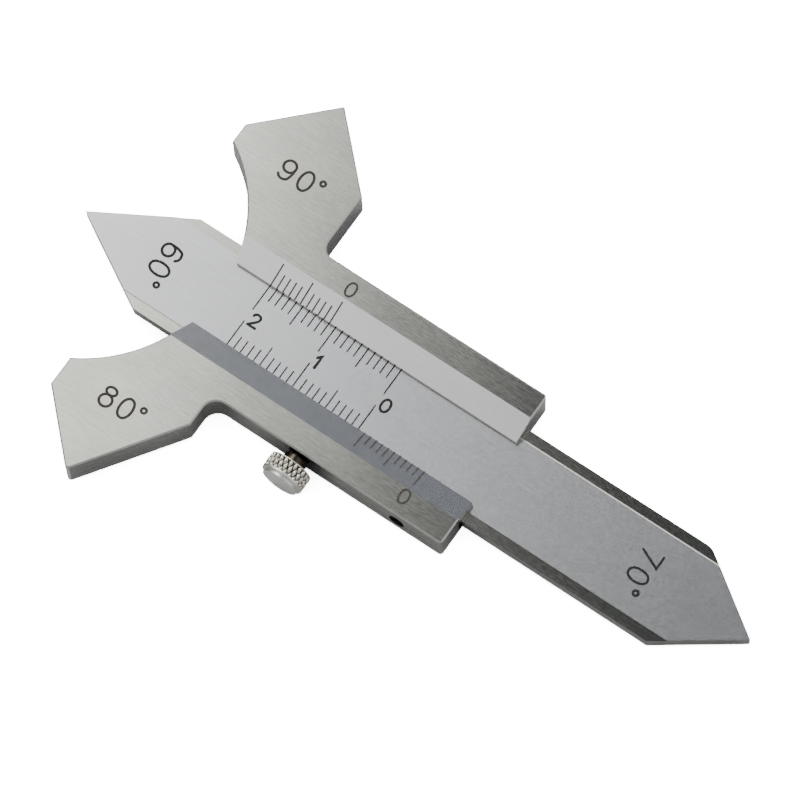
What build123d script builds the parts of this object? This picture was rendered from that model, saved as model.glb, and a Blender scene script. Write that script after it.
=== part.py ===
"""Vernier weld gauge: a pointed graduated bar that slides in a two-winged steel body.

Frame, in millimetres. X runs along the bar towards its 70 degree point, Y across it towards the
90 degree wing, and Z out of the graduated face. The origin lies on the flat back of the body, on
the centre line of the bar, below the zero line of the scale.
"""
from build123d import *
import math
import os

# The bar and its two points
BAR_WIDTH = 14.6
BAR_THICKNESS = 2.0
POINT_60_REACH = 45.1
POINT_70_REACH = 55.3
POINT_60_ANGLE = 60.0
POINT_70_ANGLE = 70.0
SHOULDER_ROUND = 2.5
LEDGE_WIDTH = 1.45
LEDGE_DEPTH = 0.15

# The body: a plate with a T-slot for the bar, open at the front between two bevelled lips
BODY_THICKNESS = 4.8
BODY_WIDTH = 23.4
BODY_LENGTH = 52.1
WEB_THICKNESS = 0.75
WINDOW_WIDTH = 9.6
BEVEL_WIDTH = 3.3
BEVEL_RISE = 1.2
END_CORNER_ROUND = 0.5
EDGE_BREAK = 0.2

# The two wings, whose flat feet stand on the plate beside the weld
POINT_LEAD = 10.4
FOOT_SLOPE = 45.0
FOOT_90_OUTER = 20.45
FOOT_80_OUTER = 21.7
WING_90_LENGTH = 17.85
WING_80_LENGTH = 17.55
WING_90_ANGLE = 90.0
WING_80_ANGLE = 80.0
NECK_90_LENGTH = 8.9
NECK_80_LENGTH = 4.75
THROAT_RADIUS = 20.2
THROAT_LEAD = 10.0
NECK_90_ROUND = 1.6
NECK_80_ROUND = 2.0
POINT_80_ROUND = 0.5

# Height above the back of the body of both screws in its lower side
SCREW_HEIGHT = 2.1

# The brake strip beside the bar, and the grub screw whose dog point keeps it in place
STRIP_THICKNESS = 0.5
STRIP_END_GAP = 0.8
STRIP_HOLE_CLEARANCE = 0.1
GRUB_DIAMETER = 2.2
GRUB_LENGTH = 2.4
GRUB_SETBACK = 6.75
GRUB_STRIP_GAP = 0.1
GRUB_DOG_DIAMETER = 0.8
GRUB_DOG_LENGTH = 0.4
GRUB_SLOT_WIDTH = 0.4
GRUB_SLOT_DEPTH = 0.6
GRUB_CHAMFER = 0.15

# The lock screw, turned in one piece
LOCK_SETBACK = 21.65
LOCK_THREAD_DIAMETER = 2.5
LOCK_TIP_DIAMETER = 1.3
LOCK_TIP_LENGTH = 0.8
LOCK_TIP_GAP = 0.02
LOCK_NECK_DIAMETER = 3.2
LOCK_NECK_GAP = 0.3
LOCK_HEAD_STANDOFF = 1.35
LOCK_HEAD_DIAMETER = 5.8
LOCK_HEAD_CHAMFER = 0.25
LOCK_KNURL_LENGTH = 2.25
LOCK_CROWN_DIAMETER = 5.1
LOCK_CROWN_HEIGHT = 0.55
LOCK_CROWN_ROUND = 0.45

# Running fits: radial in the threads, and on each face beside the bar and the strip
BAR_CLEARANCE = 0.05
THREAD_CLEARANCE = 0.04

# How near a corner edge stands to the place that it is looked up by
SAME_PLACE = 0.01

# Places that follow from the sizes above
BAR_HALF = BAR_WIDTH / 2
BAR_BACK_Z = WEB_THICKNESS + BAR_CLEARANCE
BAR_FACE_Z = BAR_BACK_Z + BAR_THICKNESS
LIP_UNDERSIDE_Z = BAR_FACE_Z + BAR_CLEARANCE
LIP_TOP_Z = BODY_THICKNESS - BEVEL_RISE
BODY_HALF = BODY_WIDTH / 2
FOOT_X = POINT_LEAD - POINT_60_REACH
BODY_END_X = FOOT_X + BODY_LENGTH
THROAT_X = FOOT_X - THROAT_LEAD
SLOT_TOP_Y = BAR_HALF + BAR_CLEARANCE
STRIP_FACE_Y = -BAR_HALF - BAR_CLEARANCE
STRIP_BACK_Y = STRIP_FACE_Y - STRIP_THICKNESS
SLOT_WALL_Y = STRIP_BACK_Y - BAR_CLEARANCE
GRUB_X = BODY_END_X - GRUB_SETBACK
LOCK_X = BODY_END_X - LOCK_SETBACK


def across(x, z):
    """A plane square to Y whose own Z axis points out of the lower side of the body."""
    return Plane(origin=(x, 0, z), x_dir=(1, 0, 0), z_dir=(0, -1, 0))


def rod(x, z, diameter, start_y, end_y):
    """A round bar about an axis along Y, from start_y outwards to end_y."""
    disc = across(x, z).offset(-start_y) * Circle(diameter / 2)
    return extrude(disc, start_y - end_y)


def vertical_edges(solid, x, y):
    """The upright edges of a solid that stand at a given place."""
    upright = solid.edges().filter_by(Axis.Z)
    return upright.filter_by(lambda e: math.dist((e.center().X, e.center().Y), (x, y)) < SAME_PLACE)


def graduated_bar():
    """Flat bar with a 60 degree and a 70 degree point, and a shallow ledge along both long edges."""
    shoulder_60 = BAR_HALF / math.tan(math.radians(POINT_60_ANGLE / 2)) - POINT_60_REACH
    shoulder_70 = POINT_70_REACH - BAR_HALF / math.tan(math.radians(POINT_70_ANGLE / 2))
    outline = Polyline(
        (-POINT_60_REACH, 0),
        (shoulder_60, BAR_HALF),
        (shoulder_70, BAR_HALF),
        (POINT_70_REACH, 0),
        (shoulder_70, -BAR_HALF),
        (shoulder_60, -BAR_HALF),
        close=True,
    )
    bar = extrude(Plane.XY.offset(BAR_BACK_Z) * make_face(outline), BAR_THICKNESS)
    bar = fillet(vertical_edges(bar, shoulder_70, BAR_HALF), SHOULDER_ROUND)
    length = POINT_60_REACH + POINT_70_REACH
    middle_x = (POINT_70_REACH - POINT_60_REACH) / 2
    for side in (1, -1):
        ledge = Box(length, 2 * LEDGE_WIDTH, 2 * LEDGE_DEPTH)
        bar -= Pos(middle_x, side * BAR_HALF, BAR_FACE_Z) * ledge
    return bar


def wing_corners(angle, foot_outer, wing_length, neck_length):
    """Corners of a wing on the upper side: foot, point, neck, and where the neck meets the rail."""
    foot_rise = math.tan(math.radians(FOOT_SLOPE))
    back_fall = math.tan(math.radians(180 - angle - FOOT_SLOPE))
    neck_y = BODY_HALF + neck_length
    reach = (back_fall * wing_length - (foot_outer - neck_y)) / (foot_rise + back_fall)
    point = (FOOT_X + reach, foot_outer + reach * foot_rise)
    back_x = FOOT_X + wing_length
    return (FOOT_X, foot_outer), point, (back_x, neck_y), (back_x, BODY_HALF)


def body_plate():
    """The outline of both wings and both rails, with the throat arc between the feet."""
    foot_inner = math.sqrt(THROAT_RADIUS**2 - THROAT_LEAD**2)
    wing_90 = wing_corners(WING_90_ANGLE, FOOT_90_OUTER, WING_90_LENGTH, NECK_90_LENGTH)
    wing_80 = wing_corners(WING_80_ANGLE, FOOT_80_OUTER, WING_80_LENGTH, NECK_80_LENGTH)
    wing_80 = [(x, -y) for x, y in reversed(wing_80)]
    edge = Polyline(
        (FOOT_X, foot_inner),
        *wing_90,
        (BODY_END_X, BODY_HALF),
        (BODY_END_X, -BODY_HALF),
        *wing_80,
        (FOOT_X, -foot_inner),
    )
    throat = ThreePointArc((FOOT_X, -foot_inner), (THROAT_X + THROAT_RADIUS, 0), (FOOT_X, foot_inner))
    plate = extrude(make_face([edge, throat]), BODY_THICKNESS)
    plate = fillet(vertical_edges(plate, *wing_90[-1]), NECK_90_ROUND)
    plate = fillet(vertical_edges(plate, *wing_80[0]), NECK_80_ROUND)
    plate = fillet(vertical_edges(plate, *wing_80[2]), POINT_80_ROUND)
    for side in (1, -1):
        plate = fillet(vertical_edges(plate, BODY_END_X, side * BODY_HALF), END_CORNER_ROUND)
    return plate


def break_front_edges(plate):
    """Ease the front edge all round the outline."""
    return chamfer(plate.faces().sort_by(Axis.Z)[-1].edges(), EDGE_BREAK)


def slot_section():
    """Cross-section of the T-slot, its window and the bevels, cut right through along X."""
    window = WINDOW_WIDTH / 2
    bevel_y = window + BEVEL_WIDTH
    above = BODY_THICKNESS + BEVEL_RISE
    section = Polyline(
        (SLOT_WALL_Y, WEB_THICKNESS),
        (SLOT_TOP_Y, WEB_THICKNESS),
        (SLOT_TOP_Y, LIP_UNDERSIDE_Z),
        (window, LIP_UNDERSIDE_Z),
        (window, LIP_TOP_Z),
        (bevel_y, BODY_THICKNESS),
        (bevel_y, above),
        (-bevel_y, above),
        (-bevel_y, BODY_THICKNESS),
        (-window, LIP_TOP_Z),
        (-window, LIP_UNDERSIDE_Z),
        (SLOT_WALL_Y, LIP_UNDERSIDE_Z),
        close=True,
    )
    return Plane(origin=(THROAT_X, 0, 0), x_dir=(0, 1, 0), z_dir=(1, 0, 0)) * make_face(section)


def slider_body():
    """The body: plate, T-slot with bevelled lips, and the two threaded holes in its lower side."""
    body = break_front_edges(body_plate())
    body -= extrude(slot_section(), BODY_END_X - THROAT_X + BODY_THICKNESS)
    outside_y = -BODY_HALF - BODY_THICKNESS
    lock_bore = LOCK_THREAD_DIAMETER + 2 * THREAD_CLEARANCE
    grub_bore = GRUB_DIAMETER + 2 * THREAD_CLEARANCE
    body -= rod(LOCK_X, SCREW_HEIGHT, lock_bore, STRIP_BACK_Y, outside_y)
    body -= rod(GRUB_X, SCREW_HEIGHT, grub_bore, STRIP_BACK_Y, outside_y)
    return body


def brake_strip():
    """Spring strip between the bar and the lower rail, with the hole for the grub screw's dog."""
    start_x = THROAT_X + math.sqrt(THROAT_RADIUS**2 - SLOT_WALL_Y**2) + STRIP_END_GAP
    end_x = BODY_END_X - STRIP_END_GAP
    strip = Box(end_x - start_x, STRIP_THICKNESS, BAR_THICKNESS)
    middle_y = (STRIP_FACE_Y + STRIP_BACK_Y) / 2
    strip = Pos((start_x + end_x) / 2, middle_y, BAR_BACK_Z + BAR_THICKNESS / 2) * strip
    hole = GRUB_DOG_DIAMETER + STRIP_HOLE_CLEARANCE
    strip -= rod(GRUB_X, SCREW_HEIGHT, hole, 0, -BODY_HALF)
    return strip


def grub_screw():
    """Headless screw, sunk in the lower rail, with a screwdriver slot outside and a dog inside."""
    inner_y = STRIP_BACK_Y - GRUB_STRIP_GAP
    outer_y = inner_y - GRUB_LENGTH
    thread = rod(GRUB_X, SCREW_HEIGHT, GRUB_DIAMETER, inner_y, outer_y)
    thread = chamfer(thread.edges().filter_by(GeomType.CIRCLE), GRUB_CHAMFER)
    dog = rod(GRUB_X, SCREW_HEIGHT, GRUB_DOG_DIAMETER, inner_y + GRUB_DOG_LENGTH, inner_y)
    slot = Box(GRUB_DIAMETER, 2 * GRUB_SLOT_DEPTH, GRUB_SLOT_WIDTH)
    return thread + dog - Pos(GRUB_X, outer_y, SCREW_HEIGHT) * slot


def lock_screw():
    """Clamping screw with a round head for the fingers, threaded through the lower rail."""
    tip_y = STRIP_BACK_Y - LOCK_TIP_GAP
    thread_y = tip_y - LOCK_TIP_LENGTH
    neck_y = -BODY_HALF - LOCK_NECK_GAP
    head_y = -BODY_HALF - LOCK_HEAD_STANDOFF
    crown_y = head_y - LOCK_KNURL_LENGTH
    end_y = crown_y - LOCK_CROWN_HEIGHT
    head = rod(LOCK_X, SCREW_HEIGHT, LOCK_HEAD_DIAMETER, head_y, crown_y)
    head = chamfer(head.edges().filter_by(GeomType.CIRCLE), LOCK_HEAD_CHAMFER)
    crown = rod(LOCK_X, SCREW_HEIGHT, LOCK_CROWN_DIAMETER, crown_y, end_y)
    crown = fillet(crown.edges().filter_by(GeomType.CIRCLE).sort_by(Axis.Y)[0], LOCK_CROWN_ROUND)
    neck = rod(LOCK_X, SCREW_HEIGHT, LOCK_NECK_DIAMETER, neck_y, head_y)
    thread = rod(LOCK_X, SCREW_HEIGHT, LOCK_THREAD_DIAMETER, thread_y, neck_y)
    tip = rod(LOCK_X, SCREW_HEIGHT, LOCK_TIP_DIAMETER, tip_y, thread_y)
    return head + crown + neck + thread + tip


PIECES = {
    "graduated_bar": graduated_bar,
    "slider_body": slider_body,
    "brake_strip": brake_strip,
    "grub_screw": grub_screw,
    "lock_screw": lock_screw,
}

os.makedirs("parts", exist_ok=True)
for name, build in PIECES.items():
    export_step(build(), f"parts/{name}.step")
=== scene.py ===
"""Looks of the vernier weld gauge: steel finishes, engraved scales and numbers, and the knurled lock screw.

Places and sizes are in the frame's millimetres, and MM turns them into metres.
"""
import math

import bmesh
import bpy
from mathutils import Matrix, Vector


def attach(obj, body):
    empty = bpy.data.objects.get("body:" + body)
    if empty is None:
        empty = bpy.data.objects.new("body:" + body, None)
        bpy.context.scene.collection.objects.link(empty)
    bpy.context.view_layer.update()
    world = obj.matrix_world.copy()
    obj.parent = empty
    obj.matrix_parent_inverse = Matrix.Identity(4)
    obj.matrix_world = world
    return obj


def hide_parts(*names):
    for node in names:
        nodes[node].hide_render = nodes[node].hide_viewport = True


MM = 0.001

# Camera of the photograph: its place, its axes, its sensor and lens, and where its view begins
CAMERA_PLACE = (139.097, -174.573, 631.167)
CAMERA_RIGHT = (0.82258, 0.56829, -0.02009)
CAMERA_UP = (-0.53024, 0.77932, 0.33392)
CAMERA_BACK = (0.20542, -0.26402, 0.94239)
CAMERA_SENSOR = 36.0
CAMERA_LENS = 240.87
CAMERA_NEAR = 10.0

# Faces of the solids that carry marks or change their finish
BAR_FACE_Z = 2.8
BODY_FACE_Z = 4.8
LIP_Y = 4.8
LIP_Z = 3.6
BEVEL_END_Y = 8.1
LEDGE_Y = 5.85
SLOT_FLOOR_Z = 0.5
WING_SIDE_Y = 12.7
GRUB_X = 10.65
GRUB_REACH = 1.25
GRUB_LOW_Z = 0.5
GRUB_HIGH_Z = 4.0

# How a face is told: by how near its middle is to a place, and how much of its normal lies along an axis
NEAR_LIP = 0.01
NEAR_LEDGE = 0.05
FLAT = 0.99
SQUARE = 0.9
SIDEWAYS = 0.8
CHAMFERED = 0.5

# Marks: how far they stand out and reach in, and how much higher every second one is
MARK_RISE = 0.012
MARK_ROOT = 0.02
OVERLAP_LIFT = 0.001

# Main scale and verniers: rows of lines, each from the lip to one of its three ends
LONG_EVERY = 10
MIDDLE_EVERY = 5
SCALE_WIDTH = 0.18
SCALE_ZERO = 0.0
SCALE_STEP = -1.0
SCALE_COUNT = 20
SCALE_UNDER_LIP = 0.6
SCALE_ENDS_UPPER = (1.05, 1.98, 3.0)
SCALE_ENDS_LOWER = (-0.88, -1.88, -2.88)
VERNIER_WIDTH = 0.2
VERNIER_STEP = -0.9
VERNIER_COUNT = 10
VERNIER_UPPER_ZERO = -10.8
VERNIER_LOWER_ZERO = 10.17
VERNIER_ENDS_UPPER = (7.56, 7.56, 6.52)
VERNIER_ENDS_LOWER = (-7.13, -7.13, -6.16)

# Signs: the height and width of a stroke's middle line, and the width of the stroke
LARGE = (2.74, 1.72, 0.36)
LARGE_THIN = (2.74, 1.72, 0.32)
SMALL = (1.75, 1.17, 0.34)
SMALL_BOLD = (1.75, 1.17, 0.4)
ZERO = (1.94, 1.24, 0.28)
DEGREE = (0.68, 0.68, 0.34)

# Strokes: a zero's squareness, the steps of an oval, of a curve and of a round end, the gap below which a
# line is closed, and the limit that keeps a sharp corner short
ZERO_SQUARENESS = 2.15
OVAL_STEPS = 40
CURVE_STEPS = 8
CAP_STEPS = 6
CLOSED_GAP = 1e-6
CORNER_LIMIT = 0.5

# Each sign, its middle, its size, and the way its top points
UPRIGHT = (0, 1)
TURNED = (1, 0)
BAR_SIGNS = (
    ("2", (-18.87, -0.1), SMALL, UPRIGHT),
    ("1", (-9.3, -0.17), SMALL_BOLD, UPRIGHT),
    ("0", (1.09, -0.18), SMALL, UPRIGHT),
    ("6", (-32.82, 1.56), LARGE, TURNED),
    ("0", (-32.86, -1.14), LARGE, TURNED),
    ("7", (39.38, 1.93), LARGE_THIN, TURNED),
    ("0", (39.38, -0.93), LARGE_THIN, TURNED),
    ("degree", (-31.92, -3.14), DEGREE, TURNED),
    ("degree", (40.39, -2.94), DEGREE, TURNED),
)
BODY_SIGNS = (
    ("9", (-26.64, 18.26), LARGE, UPRIGHT),
    ("0", (-23.86, 18.27), LARGE, UPRIGHT),
    ("degree", (-21.85, 19.21), DEGREE, UPRIGHT),
    ("8", (-27.7, -19.16), LARGE, UPRIGHT),
    ("0", (-24.96, -19.17), LARGE, UPRIGHT),
    ("degree", (-22.93, -18.17), DEGREE, UPRIGHT),
)
VERNIER_SIGNS = (
    ("0", (VERNIER_UPPER_ZERO, 9.5), ZERO, UPRIGHT),
    ("0", (VERNIER_LOWER_ZERO, -9.19), ZERO, UPRIGHT),
)

# The lock screw, from its tip to the crown of its head: places count away from the bar, along -Y
SCREW_X = -4.25
SCREW_Z = 2.1
SCREW_TIP = 7.92
TIP_RADIUS = 0.65
TIP_CHAMFER = 0.05
TIP_END = 8.72
THREAD_START = 8.85
THREAD_END = 11.9
THREAD_RADIUS = 1.25
THREAD_PITCH = 0.45
THREAD_DEPTH = 0.24
NECK_START = 12.0
NECK_RADIUS = 1.6
HEAD_START = 13.05
HEAD_RADIUS = 2.95
HEAD_CHAMFER = 0.06
RIM_RADIUS = 2.9
KNURL_START = 13.2
KNURL_END = 14.95
KNURL_COUNT = 24
KNURL_PITCH = 1.5
KNURL_DEPTH = 0.33
KNURL_POWER = 3
RIM_END = 15.3
CROWN_END = 15.85
CROWN_RADIUS = 2.5
CROWN_ROUND = 0.12
CROWN_DOME = 0.06
ROUND_STEPS = 6
DOME_STEPS = 5

# Its mesh: points around, distance between rings, the angle up to which it is smooth, and how near to a
# change of finish a face still counts as on the change
AROUND = 288
RING_STEP = 0.04
SMOOTH_ANGLE = 35
FINISH_SLACK = 0.01

# Usual range of a noise value, and of the sum of two and of three
NOISE = (0.3, 0.7)
NOISE_OF_TWO = (0.7, 1.3)
NOISE_OF_THREE = (1.1, 1.9)

# Finishes: features per millimetre along X, Y and Z, depth of the relief, and what else is the same for all
BRUSHED_FINER = 2.7
BRUSHED_CLOUD = (0.09, 0.13, 0.13)
SATIN_DARK = (0.605, 0.605, 0.605)
SATIN_LIGHT = (0.68, 0.68, 0.68)
SATIN_ROUGHNESS = (0.19, 0.235)
SATIN_SPECKLE = (4.0, 7.0, 7.0)
SATIN_LINES = (0.25, 7.0, 7.0)
SATIN_CLOUD = (0.07, 0.11, 0.11)
SATIN_RELIEF = 0.00003
TURNED_RINGS = 11
TURNED_STAIN = (0.5, 0.5, 0.5)
TURNED_RELIEF = 0.001
INK_WEAR = (3.0, 3.0, 3.0)
INK_RELIEF = 0.004
INK_ROUGHNESS = (0.45, 0.65)
INK_SPECULAR = 0.2

# Painted shade: its colour, from where to where it thins out, and what share of the steel shows at its heart
PAINTED_SHADE = (0.05, 0.045, 0.035)
NECK_SHADE = (2.4, 6.0)
NECK_SHADE_Z = 1.5
NECK_SHARE = 0.3
GAP_SHADOW = (3.13, 3.25)
GROOVE_SHADE = (2.66, 2.84)

# Painted highlight beyond one step of the bar
EDGE_HIGHLIGHT = (0.76, 0.735, 0.66)
EDGE_HIGHLIGHT_ROUGHNESS = 0.3
EDGE_HIGHLIGHT_REACH = 0.2

# The light overhead: places from left to right, its strength there, and how blue it is
CEILING = (
    (-1.2, 0.6, 0.0),
    (-0.6, 0.65, 0.0),
    (-0.42, 4.6, 0.0),
    (-0.35, 3.3, 0.0),
    (-0.3, 2.05, 0.0),
    (-0.25, 1.25, 0.03),
    (-0.213, 1.97, 0.06),
    (-0.17, 0.36, 0.1),
    (-0.15, 0.165, 0.15),
    (-0.13, 0.012, 0.3),
    (-0.06, 0.024, 0.35),
    (0.08, 0.04, 0.3),
    (0.2, 0.15, 0.2),
    (0.4, 0.6, 0.1),
    (1.2, 0.8, 0.0),
)

# Its span, its slant, its growth to the back, where it takes over from the room, and what blue does to
# red, green and blue
CEILING_SPAN = 1.2
CEILING_SLANT = 0.218
CEILING_BACK = 1.574
CEILING_EDGE = (0.35, 0.6)
CEILING_BLUE = (-1 / 2, -1 / 6, 1 / 2)

# The room around: its walls, the way to the lightest one, how they lighten towards it, and what is below
WALLS_DARK = (0.24, 0.266, 0.305)
WALLS_LIGHT = (1.1, 1.1, 1.1)
WALLS_WAY = (0.9, 0.43, 0.0)
WALLS_TURN = (0.55, 1.0)
BELOW = (0.4, 0.4, 0.4)
HORIZON = (-0.1, 0.1)

# A soft light in front and straight above
SOFT_LIGHT = (0.5, 0.51, 0.52)
SOFT_FRONT = (-0.45, -0.15)
SOFT_TOP = (0.06, -0.06, 0.996)
SOFT_TOP_EDGE = (0.1, 0.27)

# The floor: two corners of the gauge that touch it, its two planes, and the lamp on it
RAIL_CORNER = (17.2, 11.5, 0.0)
WING_CORNER = (-25.7, 29.45, 0.0)
FLOOR_SIZE = 4000.0
FLOOR_CELLS = 8
FLOOR_DROP = 0.01
FLOOR_GLOW = 4.0
FLOOR_PAINT = 0.91
MIRRORED_PAINT = 0.58
PAINT_CLOUD = (0.002, 0.002, 0.002)
PAINT_CHANGE = 0.01
PAINT_ROUGHNESS = 0.9
LAMP_LIGHT = 75.0
LAMP_ANGLE = 100
LAMP_HEIGHT = 500.0


def metres(lengths):
    """Some lengths in metres."""
    return [length * MM for length in lengths]


def add(tree, kind, settings=(), inputs=()):
    """A node with some settings and inputs filled in; an input takes a value or another node's output."""
    node = tree.nodes.new(kind)
    for name, value in dict(settings).items():
        setattr(node, name, value)
    for name, value in dict(inputs).items():
        if isinstance(value, bpy.types.NodeSocket):
            tree.links.new(value, node.inputs[name])
        else:
            node.inputs[name].default_value = value
    return node


def work_out(tree, operation, first, second=0.0):
    """Sum, product or another result of one or two values."""
    return add(tree, "ShaderNodeMath", {"operation": operation}, {0: first, 1: second}).outputs[0]


def combine(tree, operation, first, second, result="Vector"):
    """Distance, product or another result of two vectors."""
    return add(tree, "ShaderNodeVectorMath", {"operation": operation}, {0: first, 1: second}).outputs[result]


def strengthen(tree, colour, strength):
    """A colour times a value."""
    inputs = {0: colour, "Scale": strength}
    return add(tree, "ShaderNodeVectorMath", {"operation": "SCALE"}, inputs).outputs[0]


def object_place(tree):
    """The shaded place, in the object's own metres."""
    return add(tree, "ShaderNodeTexCoord").outputs["Object"]


def split(tree, place):
    """X, Y and Z of a place or a direction."""
    return list(add(tree, "ShaderNodeSeparateXYZ", inputs={0: place}).outputs)


def grain(tree, per_mm, detail=2.0, seed=0.0):
    """Noise with so many features per millimetre along X, Y and Z of the object."""
    inputs = {"Vector": object_place(tree), "Scale": [n / MM for n in per_mm], "Location": (seed,) * 3}
    spot = add(tree, "ShaderNodeMapping", inputs=inputs).outputs[0]
    inputs = {"Vector": spot, "Scale": 1.0, "Detail": detail}
    return add(tree, "ShaderNodeTexNoise", inputs=inputs).outputs["Fac"]


def spread(tree, value, low, high, span=NOISE):
    """A value that goes from low to high over a span of another one."""
    inputs = {"Value": value, "From Min": span[0], "From Max": span[1], "To Min": low, "To Max": high}
    return add(tree, "ShaderNodeMapRange", inputs=inputs).outputs[0]


def mix(tree, share, first, second):
    """A colour that goes over from the first to the second; each is a colour or another node's output."""
    first, second = (end if isinstance(end, bpy.types.NodeSocket) else (*end, 1) for end in (first, second))
    return add(tree, "ShaderNodeMix", {"data_type": "RGBA"}, {0: share, 6: first, 7: second}).outputs[2]


def new_material(name, metallic):
    """An empty node material, its tree and its main shader."""
    material = bpy.data.materials.new(name)
    material.use_nodes = True
    tree = material.node_tree
    shader = tree.nodes["Principled BSDF"]
    shader.inputs["Metallic"].default_value = metallic
    return material, tree, shader


def coat(tree, shader, colour, roughness, height, depth):
    """Gives a shader its colour, its roughness, and a relief of a depth in millimetres."""
    tree.links.new(colour, shader.inputs["Base Color"])
    tree.links.new(roughness, shader.inputs["Roughness"])
    relief = add(tree, "ShaderNodeBump", inputs={"Height": height, "Distance": depth * MM, "Strength": 1.0})
    tree.links.new(relief.outputs[0], shader.inputs["Normal"])


def unshaded_by_screw(tree):
    """Share of the side of the body left unshaded: painted shade sits around the neck of the lock screw."""
    neck = metres((SCREW_X, -NECK_START, NECK_SHADE_Z))
    away = combine(tree, "DISTANCE", object_place(tree), neck, "Value")
    return spread(tree, away, NECK_SHARE, 1.0, metres(NECK_SHADE))


def unshaded_above_gap(tree):
    """Share of a lip's wall left unshaded: a painted shadow runs along its foot, at the gap over the bar."""
    return spread(tree, split(tree, object_place(tree))[2], 0.0, 1.0, metres(GAP_SHADOW))


def brushed(name, dark, light, roughness, grains, depth, anisotropy=0.0, unshaded=None):
    """Steel ground in one direction: streaks in colour, gloss and relief, and painted shade where asked."""
    material, tree, shader = new_material(name, 1.0)
    coarse = grain(tree, grains, detail=3.0)
    fine = grain(tree, [BRUSHED_FINER * n for n in grains], seed=5.0)
    cloud = grain(tree, BRUSHED_CLOUD, seed=11.0)
    streak = work_out(tree, "ADD", work_out(tree, "ADD", coarse, fine), cloud)
    colour = mix(tree, spread(tree, streak, 0, 1, NOISE_OF_THREE), dark, light)
    # painted shade: the colour goes dark where the mask is low
    if unshaded:
        colour = mix(tree, unshaded(tree), PAINTED_SHADE, colour)
    coat(tree, shader, colour, spread(tree, fine, *roughness), fine, depth)
    shader.inputs["Anisotropic"].default_value = anisotropy
    across = add(tree, "ShaderNodeCombineXYZ", inputs={1: 1.0})
    tree.links.new(across.outputs[0], shader.inputs["Tangent"])
    return material


def satin(name, highlight_edge=None):
    """Steel with a fine matt finish, barely drawn out along X, and a painted highlight beyond a place along
    Y.
    """
    material, tree, shader = new_material(name, 1.0)
    speckle = grain(tree, SATIN_SPECKLE, detail=3.0)
    lines = grain(tree, SATIN_LINES, seed=3.0)
    cloud = grain(tree, SATIN_CLOUD, seed=9.0)
    matt = work_out(tree, "ADD", speckle, lines)
    shade = spread(tree, work_out(tree, "ADD", matt, cloud), 0, 1, NOISE_OF_THREE)
    colour = mix(tree, shade, SATIN_DARK, SATIN_LIGHT)
    gloss = spread(tree, speckle, *SATIN_ROUGHNESS)
    if highlight_edge:
        # painted highlight: a light band on the face just inside the step
        edge = metres((highlight_edge - EDGE_HIGHLIGHT_REACH, highlight_edge - EDGE_HIGHLIGHT_REACH / 2))
        wear_and_highlight = spread(tree, split(tree, object_place(tree))[1], 0.0, 1.0, edge)
        colour = mix(tree, wear_and_highlight, colour, EDGE_HIGHLIGHT)
        gloss = work_out(tree, "ADD", gloss, work_out(tree, "MULTIPLY", wear_and_highlight, EDGE_HIGHLIGHT_ROUGHNESS))
    coat(tree, shader, colour, gloss, matt, SATIN_RELIEF)
    return material


def off_screw_axis(tree):
    """How far the shaded place is off the axis of the lock screw, and its place along Y."""
    move = metres((-SCREW_X, 0, -SCREW_Z))
    centred = add(tree, "ShaderNodeMapping", inputs={"Vector": object_place(tree), "Location": move})
    x, y, z = split(tree, centred.outputs[0])
    squares = [work_out(tree, "MULTIPLY", side, side) for side in (x, z)]
    return work_out(tree, "POWER", work_out(tree, "ADD", *squares), 0.5), y


def turned(name, dark, light, roughness, groove=None):
    """Steel turned about the screw's axis: fine rings, a little staining, and painted shade down in grooves.
    """
    material, tree, shader = new_material(name, 1.0)
    radius, y = off_screw_axis(tree)
    place = add(tree, "ShaderNodeCombineXYZ", inputs={0: radius, 1: y}).outputs[0]
    spot = add(tree, "ShaderNodeMapping", inputs={"Vector": place, "Scale": (TURNED_RINGS / MM,) * 3})
    rings = add(tree, "ShaderNodeTexNoise", inputs={"Vector": spot.outputs[0], "Scale": 1.0}).outputs["Fac"]
    stain = grain(tree, TURNED_STAIN, detail=3.0, seed=4.0)
    shade = spread(tree, work_out(tree, "ADD", rings, stain), 0, 1, NOISE_OF_TWO)
    colour = mix(tree, shade, dark, light)
    # painted shade: darker towards the bottom of the grooves
    if groove:
        colour = mix(tree, spread(tree, radius, 0, 1, metres(groove)), PAINTED_SHADE, colour)
    coat(tree, shader, colour, spread(tree, rings, *roughness), rings, TURNED_RELIEF)
    return material


def ink(name, dark, light):
    """Paint in an engraved line, worn a little unevenly."""
    material, tree, shader = new_material(name, 0.0)
    wear_and_highlight = grain(tree, INK_WEAR, detail=3.0)
    colour = mix(tree, spread(tree, wear_and_highlight, 0, 1), dark, light)
    coat(tree, shader, colour, spread(tree, wear_and_highlight, *INK_ROUGHNESS), wear_and_highlight, INK_RELIEF)
    shader.inputs["Specular IOR Level"].default_value = INK_SPECULAR
    return material


def paint_node(node, materials, choose):
    """Gives each face of a solid one of some named materials, chosen by its middle and its normal."""
    mesh = node.data
    mesh.materials.clear()
    for material in materials.values():
        mesh.materials.append(material)
    names = list(materials)
    for face in mesh.polygons:
        face.material_index = names.index(choose(face.center / MM, face.normal))


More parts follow.
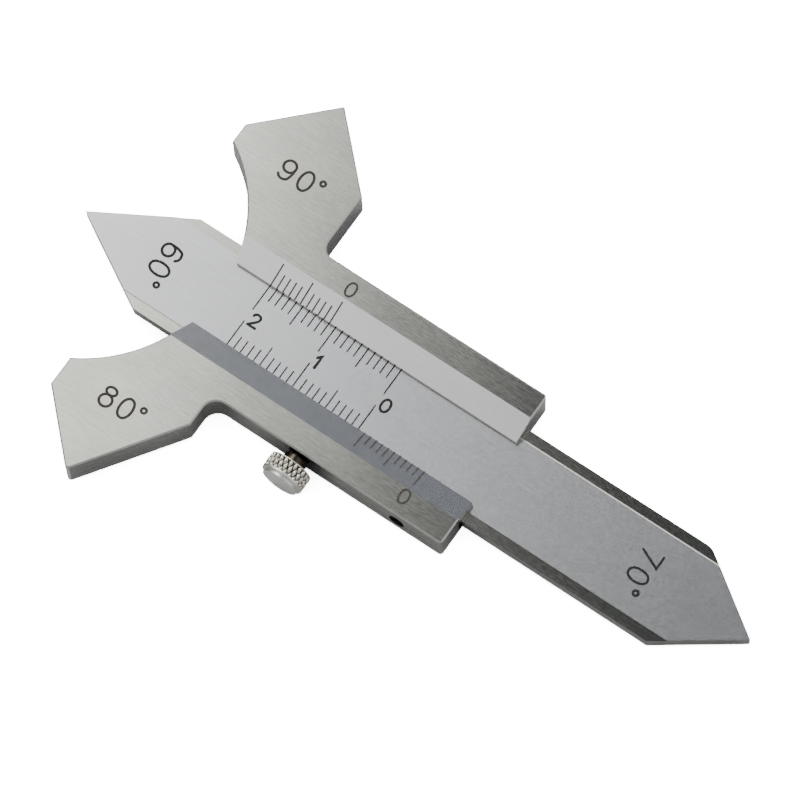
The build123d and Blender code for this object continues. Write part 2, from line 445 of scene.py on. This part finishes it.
def body_finish(middle, normal):
    """Finish of a face of the body.

    Front and back are ground and the bevels satin. The slot and the grub screw's bore carry painted shade.
    Chamfers, the walls of the lips and the side of the 80 degree wing are bright, and the other sides are
    milled. The walls of the lips carry a painted shadow along their foot.
    """
    across = abs(middle.y)
    if abs(across - LIP_Y) < NEAR_LIP and abs(normal.y) > SQUARE:
        return "lip"
    # the slot and the grub screw's bore take near black steel as painted shade
    if SLOT_FLOOR_Z < middle.z < LIP_Z and across < BEVEL_END_Y and abs(normal.x) < SQUARE:
        return "slot"
    by_grub = abs(middle.x - GRUB_X) < GRUB_REACH and GRUB_LOW_Z < middle.z < GRUB_HIGH_Z
    if by_grub and abs(normal.y) < SQUARE:
        return "slot"
    if CHAMFERED < normal.z < SQUARE:
        return "edge"
    if normal.y < -SIDEWAYS and middle.y < -WING_SIDE_Y:
        return "side"
    if abs(normal.z) > FLAT:
        return "ground"
    if normal.z > SQUARE and across < BEVEL_END_Y:
        return "bevel"
    return "milled"


def bar_finish(middle, normal):
    """Finish of a bar face: satin between ground ledges, painted shade on the steps, and milled sides."""
    across = abs(middle.y)
    # the steps at the ledges take near black steel as painted shade
    if abs(across - LEDGE_Y) < NEAR_LEDGE and abs(normal.y) > SQUARE:
        return "slot"
    if normal.z > FLAT and across < LEDGE_Y:
        return "satin"
    if abs(normal.z) > FLAT:
        return "ground"
    return "milled"


def surface_z(y, body):
    """Height of the face of the bar or the body that carries a mark at a place across the gauge."""
    if body == "bar":
        return BAR_FACE_Z
    if abs(y) >= BEVEL_END_Y:
        return BODY_FACE_Z
    return LIP_Z + (abs(y) - LIP_Y) * (BODY_FACE_Z - LIP_Z) / (BEVEL_END_Y - LIP_Y)


def oval(half_width, half_height, middle=0.0, squareness=2.0):
    """Points of an oval, anticlockwise from its right side and back to it; its middle is up or down."""
    points = []
    for i in range(OVAL_STEPS + 1):
        angle = math.radians(360 * i / OVAL_STEPS)
        c, s = math.cos(angle), math.sin(angle)
        x = math.copysign(abs(c) ** (2 / squareness), c)
        y = math.copysign(abs(s) ** (2 / squareness), s)
        points.append((half_width * x, middle + half_height * y))
    return points


def eased(p, q, r, s, t):
    """A number on the smooth way from q to r, which comes from p and goes on to s."""
    bend = (2 * p - 5 * q + 4 * r - s) * t**2 + (3 * q - p - 3 * r + s) * t**3
    return 0.5 * (2 * q + (r - p) * t + bend)


def curve_through(points):
    """A smooth line through some points."""
    ends = [points[0]] + list(points) + [points[-1]]
    line = []
    for four in zip(ends, ends[1:], ends[2:], ends[3:]):
        for i in range(CURVE_STEPS):
            line.append(tuple(eased(*numbers, i / CURVE_STEPS) for numbers in zip(*four)))
    return line + [points[-1]]


def nine(half_height, half_width):
    """Strokes of a nine: a round loop, and a tail from its right side that hooks to the left."""
    loop = 0.6 * half_height
    middle = half_height - loop
    tail = [
        (half_width, middle),
        (0.95 * half_width, -0.22 * half_height),
        (0.80 * half_width, -0.60 * half_height),
        (0.55 * half_width, -0.88 * half_height),
        (-0.08 * half_width, -half_height),
        (-0.60 * half_width, -0.92 * half_height),
        (-0.93 * half_width, -0.71 * half_height),
    ]
    return [oval(half_width, loop, middle), curve_through(tail)]


def eight(half_height, half_width):
    """Strokes of an eight: two loops, the upper one smaller."""
    upper = 0.4 * half_height
    lower = half_height - upper
    return [
        oval(0.84 * half_width, upper, half_height - upper),
        oval(half_width, lower, lower - half_height),
    ]


def two(half_height, half_width):
    """Strokes of a two: an arch, a slanting neck and a flat foot."""
    arch = curve_through([
        (-0.88 * half_width, 0.55 * half_height),
        (-0.62 * half_width, 0.88 * half_height),
        (0.0, half_height),
        (0.62 * half_width, 0.86 * half_height),
        (0.84 * half_width, 0.50 * half_height),
        (0.66 * half_width, 0.12 * half_height),
        (-0.10 * half_width, -0.45 * half_height),
        (-half_width, -half_height),
    ])
    return [arch, [(-half_width, -half_height), (half_width, -half_height)]]


def one(half_height, half_width):
    """Stroke of a one: a flag and a stem."""
    stem_x = 0.25 * half_width
    return [[(-0.45 * half_width, 0.52 * half_height), (stem_x, half_height), (stem_x, -half_height)]]


def seven(half_height, half_width):
    """Stroke of a seven: a flat top and a slanting leg."""
    return [[(-half_width, half_height), (half_width, half_height), (-0.45 * half_width, -half_height)]]


def zero(half_height, half_width):
    """Stroke of a zero: one tall oval."""
    return [oval(half_width, half_height, squareness=ZERO_SQUARENESS)]


def degree(half_height, half_width):
    """Stroke of a degree sign: one ring."""
    return [oval(half_width, half_height)]


def six(half_height, half_width):
    """Strokes of a six: a nine upside down."""
    return [[(-x, -y) for x, y in stroke] for stroke in nine(half_height, half_width)]


SHAPES = {"0": zero, "1": one, "2": two, "6": six, "7": seven, "8": eight, "9": nine, "degree": degree}


def write(signs):
    """Strokes of some signs: each one's line and width."""
    strokes = []
    for character, (x, y), (height, width, thickness), up in signs:
        across = (up[1], -up[0])
        for line in SHAPES[character](height / 2, width / 2):
            placed = [(x + a * across[0] + b * up[0], y + a * across[1] + b * up[1]) for a, b in line]
            strokes.append((placed, thickness))
    return strokes


def row_of_lines(zero_x, step, count, root, ends, width):
    """Lines of a scale: every tenth is the longest, and every fifth is of middle length."""
    strokes = []
    for i in range(count + 1):
        rank = 0 if i % LONG_EVERY == 0 else 1 if i % MIDDLE_EVERY == 0 else 2
        x = zero_x + i * step
        strokes.append(([(x, root), (x, ends[rank])], width))
    return strokes


def side_steps(line, closed):
    """Unit vectors to the left of a line at each of its points, longer at its corners."""
    count = len(line)
    steps = []
    for i, here in enumerate(line):
        before = line[(i - 1) % count] if closed or i else here
        after = line[(i + 1) % count] if closed or i < count - 1 else here
        first = Vector((here[0] - before[0], here[1] - before[1]))
        second = Vector((after[0] - here[0], after[1] - here[1]))
        directions = [v.normalized() for v in (first, second) if v.length > 0]
        along = sum(directions, Vector((0, 0))).normalized()
        reach = max(CORNER_LIMIT, along.dot(directions[0]))
        steps.append(Vector((-along.y, along.x)) / reach)
    return steps


def cap_face(bm, centre, first, last):
    """The round end of a band, from one of its corners around to the other."""
    rim = [first]
    for k in range(1, CAP_STEPS):
        turn = Matrix.Rotation(math.pi * k / CAP_STEPS, 3, "Z")
        rim.append(bm.verts.new(centre + turn @ (first.co - centre)))
    return bm.faces.new(rim + [last])


def stroke_faces(bm, line, width, height):
    """A flat band along a line at a given height, with round ends where the line is open."""
    closed = math.dist(line[0], line[-1]) < CLOSED_GAP
    if closed:
        line = line[:-1]
    left = []
    right = []
    for (x, y), step in zip(line, side_steps(line, closed)):
        out = step * width / 2
        left.append(bm.verts.new((x + out.x, y + out.y, height)))
        right.append(bm.verts.new((x - out.x, y - out.y, height)))
    faces = []
    for i in range(len(line) if closed else len(line) - 1):
        j = (i + 1) % len(line)
        faces.append(bm.faces.new((left[i], right[i], right[j], left[j])))
    if not closed:
        faces.append(cap_face(bm, Vector((*line[0], height)), left[0], right[0]))
        faces.append(cap_face(bm, Vector((*line[-1], height)), right[-1], left[-1]))
    return faces


def place_in_scene(name, data):
    """A new object of the scene."""
    thing = bpy.data.objects.new(name, data)
    bpy.context.scene.collection.objects.link(thing)
    return thing


def mesh_object(name, bm):
    """A new object of the scene with a finished mesh."""
    mesh = bpy.data.meshes.new(name)
    bm.to_mesh(mesh)
    bm.free()
    return place_in_scene(name, mesh)


def marks(name, strokes, material, body):
    """A thin inlay for strokes of given widths, laid on the face below it.

    Every second stroke is a little higher, so that no two faces share a place where strokes meet.
    """
    bm = bmesh.new()
    faces = []
    for i, (line, width) in enumerate(strokes):
        faces += stroke_faces(bm, line, width, OVERLAP_LIFT * (i % 2))
    risen = bmesh.ops.extrude_face_region(bm, geom=faces)["geom"]
    top = {part for part in risen if isinstance(part, bmesh.types.BMVert)}
    for vert in bm.verts:
        lift = MARK_RISE if vert in top else -MARK_ROOT
        vert.co.z += surface_z(vert.co.y, body) + lift
        vert.co *= MM
    bmesh.ops.recalc_face_normals(bm, faces=bm.faces)
    piece = mesh_object(name, bm)
    piece.data.materials.append(material)
    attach(piece, body)


def no_depth(angle, y):
    """Depth of the relief where the screw is plain."""
    return 0.0


def thread_depth(angle, y):
    """Depth of the thread's groove at an angle and a place along the screw."""
    phase = (y / THREAD_PITCH - angle / (2 * math.pi)) % 1.0
    return THREAD_DEPTH * (1 - abs(2 * phase - 1))


def knurl_depth(angle, y):
    """Depth of the knurl at an angle and a place along the screw: pillows between crossing grooves."""
    around = angle * KNURL_COUNT / (2 * math.pi)
    crown = 1.0
    for phase in (around + y / KNURL_PITCH, around - y / KNURL_PITCH):
        crown *= 1 - abs(2 * (phase % 1.0) - 1) ** KNURL_POWER
    return KNURL_DEPTH * (1 - crown)


def between(start, end):
    """Evenly spread places from start to end, about a ring's step apart."""
    count = math.ceil((end - start) / RING_STEP)
    return [start + (end - start) * i / count for i in range(count + 1)]


def crown_outline():
    """Places and radii of the crown of the screw's head: its rounded edge, then its low dome."""
    flat = CROWN_RADIUS - CROWN_ROUND
    outline = []
    for i in range(ROUND_STEPS + 1):
        turn = math.radians(90 * i / ROUND_STEPS)
        place = CROWN_END - CROWN_DOME - CROWN_ROUND * (1 - math.sin(turn))
        outline.append((place, flat + CROWN_ROUND * math.cos(turn)))
    for i in range(1, DOME_STEPS):
        share = 1 - i / DOME_STEPS
        outline.append((CROWN_END - CROWN_DOME * share**2, flat * share))
    return outline


def screw_rings():
    """Rings of the lock screw from its tip outwards: place, radius, and the relief that each carries."""
    blunt = TIP_RADIUS - TIP_CHAMFER
    bevelled = RIM_RADIUS - HEAD_CHAMFER
    tip = [(SCREW_TIP, blunt), (SCREW_TIP + TIP_CHAMFER, TIP_RADIUS), (TIP_END, TIP_RADIUS)]
    neck = [(NECK_START, THREAD_RADIUS), (NECK_START, NECK_RADIUS), (HEAD_START, NECK_RADIUS)]
    inner_rim = [(HEAD_START, bevelled), (HEAD_START + HEAD_CHAMFER, RIM_RADIUS), (KNURL_START, RIM_RADIUS)]
    outer_rim = [(KNURL_END, RIM_RADIUS), (RIM_END - HEAD_CHAMFER, RIM_RADIUS), (RIM_END, bevelled)]
    crown = [(RIM_END, CROWN_RADIUS)] + crown_outline()
    rings = [(*point, no_depth) for point in tip]
    for place in between(TIP_END, THREAD_END):
        rings.append((place, THREAD_RADIUS, thread_depth if place > THREAD_START else no_depth))
    rings += [(*point, no_depth) for point in neck + inner_rim]
    rings += [(place, HEAD_RADIUS, knurl_depth) for place in between(KNURL_START, KNURL_END)]
    return rings + [(*point, no_depth) for point in outer_rim + crown]


def screw_finish(place):
    """Which of the lock screw's finishes it has at a place along it."""
    knurl = (KNURL_START - FINISH_SLACK, KNURL_END - FINISH_SLACK)
    ends = (HEAD_START + FINISH_SLACK, *knurl, RIM_END + FINISH_SLACK)
    return sum(place > end for end in ends)


def lock_screw_piece(finishes):
    """The turned lock screw with its thread and diamond knurl, and its finishes from the tip outwards."""
    bm = bmesh.new()
    rings = []
    for place, radius, depth in screw_rings():
        ring = []
        for i in range(AROUND):
            angle = 2 * math.pi * i / AROUND
            r = radius - depth(angle, -place)
            x, z = SCREW_X + r * math.cos(angle), SCREW_Z + r * math.sin(angle)
            ring.append(bm.verts.new(metres((x, -place, z))))
        rings.append(ring)
    for near, far in zip(rings, rings[1:]):
        for i in range(AROUND):
            j = (i + 1) % AROUND
            bm.faces.new((near[i], near[j], far[j], far[i]))
    for ring, place in ((rings[0], SCREW_TIP), (rings[-1], CROWN_END)):
        middle = bm.verts.new(metres((SCREW_X, -place, SCREW_Z)))
        for i in range(AROUND):
            bm.faces.new((ring[i], ring[(i + 1) % AROUND], middle))
    bmesh.ops.recalc_face_normals(bm, faces=bm.faces)
    piece = mesh_object("lock_screw_knurled", bm)
    mesh = piece.data
    for material in finishes:
        mesh.materials.append(material)
    for face in mesh.polygons:
        face.use_smooth = True
        face.material_index = screw_finish(-face.center.y / MM)
    mesh.set_sharp_from_angle(angle=math.radians(SMOOTH_ANGLE))
    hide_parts("lock_screw")
    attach(piece, "lock")


def camera():
    """The camera that took the photograph."""
    data = bpy.data.cameras.new("photo_camera")
    data.sensor_width = CAMERA_SENSOR
    data.lens = CAMERA_LENS
    data.clip_start = CAMERA_NEAR * MM
    seen_from = place_in_scene("photo_camera", data)
    turn = Matrix((CAMERA_RIGHT, CAMERA_UP, CAMERA_BACK)).transposed()
    seen_from.matrix_world = Matrix.Translation(Vector(CAMERA_PLACE) * MM) @ turn.to_4x4()
    bpy.context.scene.camera = seen_from


def ceiling_light(tree, way, to_back):
    """The light overhead, which changes from left to right and grows to the back."""
    side = combine(tree, "DOT_PRODUCT", way, (1.0, CEILING_SLANT, 0.0), "Value")
    place = spread(tree, side, 0.0, 1.0, (-CEILING_SPAN, CEILING_SPAN))
    ramp = add(tree, "ShaderNodeValToRGB", inputs={0: place})
    peak = max(light for where, light, blue in CEILING)
    stops = ramp.color_ramp.elements
    for i, (where, light, blue) in enumerate(CEILING):
        spot = (where + CEILING_SPAN) / (2 * CEILING_SPAN)
        stop = stops[i] if i < len(stops) else stops.new(spot)
        stop.position = spot
        stop.color = (*(light / peak * (1 + blue * change) for change in CEILING_BLUE), 1)
    growth = work_out(tree, "EXPONENT", work_out(tree, "MULTIPLY", to_back, CEILING_BACK))
    return strengthen(tree, ramp.outputs[0], work_out(tree, "MULTIPLY", growth, peak))


def room_light(tree, way, height):
    """The light of the walls, which lighten to one side, and of what is below the horizon."""
    facing = combine(tree, "DOT_PRODUCT", way, WALLS_WAY, "Value")
    walls = mix(tree, spread(tree, facing, 0.0, 1.0, WALLS_TURN), WALLS_DARK, WALLS_LIGHT)
    return mix(tree, spread(tree, height, 0.0, 1.0, HORIZON), BELOW, walls)


def soft_light(tree, way, to_back):
    """A weak light in front, at every height, and straight above."""
    front = spread(tree, to_back, 1.0, 0.0, SOFT_FRONT)
    off_top = combine(tree, "DISTANCE", way, SOFT_TOP, "Value")
    above = spread(tree, off_top, 1.0, 0.0, SOFT_TOP_EDGE)
    return strengthen(tree, SOFT_LIGHT, work_out(tree, "MAXIMUM", front, above))


def studio():
    """Soft surroundings: a softbox overhead on the left, a dark ceiling on the right, and a light room.

    A weak light in front and straight above shows where nothing stronger does.
    """
    world = bpy.data.worlds.new("studio")
    world.use_nodes = True
    bpy.context.scene.world = world
    tree = world.node_tree
    way = add(tree, "ShaderNodeTexCoord").outputs["Generated"]
    to_back, height = split(tree, way)[1:]
    overhead = spread(tree, height, 0.0, 1.0, CEILING_EDGE)
    light = mix(tree, overhead, room_light(tree, way, height), ceiling_light(tree, way, to_back))
    strongest = combine(tree, "MAXIMUM", light, soft_light(tree, way, to_back))
    tree.links.new(strongest, tree.nodes["Background"].inputs["Color"])


def floor_paint(name, glow, shade):
    """Matt pale paint that may glow a little."""
    material, tree, shader = new_material(name, 0.0)
    cloud = spread(tree, grain(tree, PAINT_CLOUD), 0.0, 1.0)
    colour = mix(tree, cloud, (shade - PAINT_CHANGE,) * 3, (shade + PAINT_CHANGE,) * 3)
    tree.links.new(colour, shader.inputs["Base Color"])
    shader.inputs["Roughness"].default_value = PAINT_ROUGHNESS
    shader.inputs["Specular IOR Level"].default_value = 0.0
    shader.inputs["Emission Color"].default_value = (1, 1, 1, 1)
    shader.inputs["Emission Strength"].default_value = glow
    return material


def floor_plane(name, paint, place, turn):
    """One wide painted plane."""
    bm = bmesh.new()
    bmesh.ops.create_grid(bm, x_segments=FLOOR_CELLS, y_segments=FLOOR_CELLS, size=FLOOR_SIZE * MM)
    plane = mesh_object(name, bm)
    plane.matrix_world = Matrix.Translation(place * MM) @ turn
    plane.data.materials.append(paint)
    return plane


def floor_lamp(plane, turn):
    """A broad soft lamp that lights one plane only."""
    data = bpy.data.lights.new("floor_lamp", "SUN")
    data.energy = LAMP_LIGHT
    data.angle = math.radians(LAMP_ANGLE)
    lamp = place_in_scene("floor_lamp", data)
    lamp.matrix_world = Matrix.Translation((0, 0, LAMP_HEIGHT * MM)) @ turn
    lit = bpy.data.collections.new("lit_by_floor_lamp")
    lit.objects.link(plane)
    lamp.light_linking.receiver_collection = lit


def floor():
    """A pale floor, tilted as the gauge rests on it: on both upper corners and the screw's head.

    The camera sees one plane, which a lamp of its own makes white up to a faint soft shadow. The metal
    mirrors another one just above it, which has only the light of the surroundings.
    """
    head_bottom = (SCREW_X, -(HEAD_START + RIM_END) / 2, SCREW_Z - HEAD_RADIUS)
    first, second, third = (Vector(contact) for contact in (RAIL_CORNER, WING_CORNER, head_bottom))
    middle = (first + second + third) / 3
    normal = (second - first).cross(third - first).normalized()
    turn = normal.to_track_quat("Z", "Y").to_matrix().to_4x4()
    paint = floor_paint("floor_paint", FLOOR_GLOW, FLOOR_PAINT)
    seen = floor_plane("floor", paint, middle - 2 * FLOOR_DROP * normal, turn)
    paint = floor_paint("floor_in_metal_paint", 0.0, MIRRORED_PAINT)
    mirrored = floor_plane("floor_in_metal", paint, middle - FLOOR_DROP * normal, turn)
    seen.visible_glossy = False
    for kind in ("camera", "diffuse", "shadow", "transmission", "volume_scatter"):
        setattr(mirrored, f"visible_{kind}", False)
    floor_lamp(seen, turn)


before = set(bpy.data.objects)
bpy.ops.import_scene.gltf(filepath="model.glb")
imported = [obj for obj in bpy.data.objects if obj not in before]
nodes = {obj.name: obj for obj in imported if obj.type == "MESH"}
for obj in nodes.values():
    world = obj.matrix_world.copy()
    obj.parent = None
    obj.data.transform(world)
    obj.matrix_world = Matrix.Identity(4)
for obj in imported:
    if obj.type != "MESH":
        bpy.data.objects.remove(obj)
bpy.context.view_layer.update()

ground_steel = brushed(
    "ground_steel",
    dark=(0.515, 0.511, 0.448),
    light=(0.695, 0.69, 0.606),
    roughness=(0.14, 0.18),
    grains=(0.5, 4.5, 4.5),
    depth=0.0005,
    anisotropy=0.85,
)
# milled steel, with painted shade on the body's side around the lock screw's neck
milled_steel = brushed(
    "milled_steel",
    dark=(0.275, 0.275, 0.25),
    light=(0.45, 0.45, 0.415),
    roughness=(0.22, 0.3),
    grains=(0.1, 0.1, 8.0),
    depth=0.001,
    unshaded=unshaded_by_screw,
)
# near black steel: painted shade in the slot, the grub screw's bore and the bar's steps
slot_shade_steel = brushed(
    "slot_shade_steel",
    dark=(0.05, 0.048, 0.042),
    light=(0.1, 0.096, 0.085),
    roughness=(0.3, 0.45),
    grains=(0.1, 5.0, 5.0),
    depth=0.001,
)
edge_steel = brushed(
    "edge_steel",
    dark=(0.5, 0.495, 0.45),
    light=(0.6, 0.595, 0.545),
    roughness=(0.4, 0.48),
    grains=(0.3, 0.3, 0.3),
    depth=0.0002,
)
# walls of the lips: bright steel with a painted shadow along their foot
lip_steel = brushed(
    "lip_steel",
    dark=(0.5, 0.5, 0.48),
    light=(0.62, 0.62, 0.6),
    roughness=(0.2, 0.3),
    grains=(0.1, 5.0, 5.0),
    depth=0.0005,
    unshaded=unshaded_above_gap,
)
side_steel = brushed(
    "side_steel",
    dark=(0.5, 0.5, 0.45),
    light=(0.7, 0.7, 0.635),
    roughness=(0.24, 0.32),
    grains=(0.3, 0.3, 5.0),
    depth=0.001,
)
spring_steel = brushed(
    "spring_steel",
    dark=(0.38, 0.39, 0.4),
    light=(0.5, 0.51, 0.52),
    roughness=(0.25, 0.35),
    grains=(0.06, 5.0, 5.0),
    depth=0.001,
    anisotropy=0.5,
)
# the bar's face, with a painted highlight along its upper step
satin_steel = satin("satin_steel", highlight_edge=LEDGE_Y)
bevel_steel = satin("bevel_steel")
# thread and neck: dark oily steel, darkened further as painted shade in the gap under the head
thread_steel = turned(
    "thread_steel",
    dark=(0.05, 0.042, 0.03),
    light=(0.15, 0.13, 0.09),
    roughness=(0.2, 0.35),
)
rim_steel = turned(
    "rim_steel",
    dark=(0.7, 0.67, 0.58),
    light=(0.86, 0.83, 0.73),
    roughness=(0.4, 0.5),
)
# knurl with painted shade down in its grooves
knurled_steel = turned(
    "knurled_steel",
    dark=(0.74, 0.7, 0.6),
    light=(0.93, 0.9, 0.79),
    roughness=(0.14, 0.24),
    groove=GROOVE_SHADE,
)
turned_steel = turned(
    "turned_steel",
    dark=(0.76, 0.77, 0.73),
    light=(0.88, 0.89, 0.85),
    roughness=(0.34, 0.44),
)
screw_steel = turned(
    "screw_steel",
    dark=(0.02, 0.02, 0.02),
    light=(0.05, 0.05, 0.05),
    roughness=(0.35, 0.5),
)
black_ink = ink("black_ink", dark=(0.012, 0.012, 0.012), light=(0.03, 0.03, 0.03))
brown_ink = ink("brown_ink", dark=(0.035, 0.03, 0.02), light=(0.07, 0.06, 0.045))
grey_ink = ink("grey_ink", dark=(0.04, 0.038, 0.034), light=(0.09, 0.085, 0.075))

body_steels = {
    "ground": ground_steel,
    "bevel": bevel_steel,
    "milled": milled_steel,
    "slot": slot_shade_steel,
    "edge": edge_steel,
    "lip": lip_steel,
    "side": side_steel,
}
bar_steels = {"ground": ground_steel, "satin": satin_steel, "milled": milled_steel, "slot": slot_shade_steel}
paint_node(nodes["slider_body"], body_steels, body_finish)
paint_node(nodes["graduated_bar"], bar_steels, bar_finish)
paint_node(nodes["brake_strip"], {"whole": spring_steel}, lambda middle, normal: "whole")
paint_node(nodes["grub_screw"], {"whole": screw_steel}, lambda middle, normal: "whole")

scale_root = LIP_Y + SCALE_UNDER_LIP
scale_lines = []
for root, ends in ((scale_root, SCALE_ENDS_UPPER), (-scale_root, SCALE_ENDS_LOWER)):
    scale_lines += row_of_lines(SCALE_ZERO, SCALE_STEP, SCALE_COUNT, root, ends, SCALE_WIDTH)
marks("scale_lines", scale_lines, black_ink, "bar")
marks("bar_numbers", write(BAR_SIGNS), black_ink, "bar")

verniers = (
    ("vernier_lines_upper", VERNIER_UPPER_ZERO, LIP_Y, VERNIER_ENDS_UPPER),
    ("vernier_lines_lower", VERNIER_LOWER_ZERO, -LIP_Y, VERNIER_ENDS_LOWER),
)
for name, zero_x, root, ends in verniers:
    lines = row_of_lines(zero_x, VERNIER_STEP, VERNIER_COUNT, root, ends, VERNIER_WIDTH)
    marks(name, lines, grey_ink, "body")
marks("body_numbers", write(BODY_SIGNS), brown_ink, "body")
marks("vernier_zeros", write(VERNIER_SIGNS), grey_ink, "body")

lock_screw_piece((thread_steel, rim_steel, knurled_steel, rim_steel, turned_steel))

studio()
floor()
camera()
